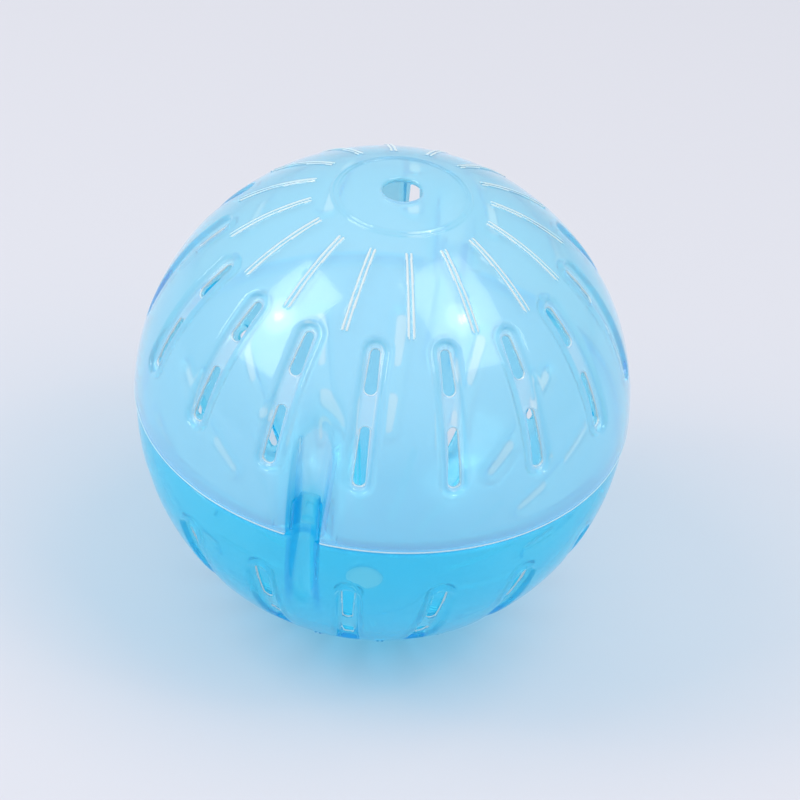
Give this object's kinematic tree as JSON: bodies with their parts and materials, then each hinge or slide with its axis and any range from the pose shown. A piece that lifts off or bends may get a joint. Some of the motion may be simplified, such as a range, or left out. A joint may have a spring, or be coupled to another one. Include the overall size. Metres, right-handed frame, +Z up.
{
  "type": "hamster ball",
  "caption": "Small clear plastic exercise ball for a hamster, in two halves that push together at the waist, with air slots and a hole at each pole.",
  "frame": {"origin": "middle of the ball, on the axis through the two pole holes", "axes": "+Z runs up the pole axis out of the upper half, and the two latch channels face -Y and +Y"},
  "size_m": [0.1, 0.0996, 0.0996],
  "materials": {
    "upper_plastic": "clear tinted, polished",
    "lower_plastic": "clear tinted, polished"
  },
  "bodies": {
    "lower_half": {"lower_shell": "lower_plastic"},
    "upper_half": {"upper_shell": "upper_plastic"}
  },
  "joints": [
    {"name": "upper_half_pull_off", "type": "slide", "parent": "lower_half", "child": "upper_half", "axis": [0, 0, 1], "range_m": [0, 0.06]}
  ]
}
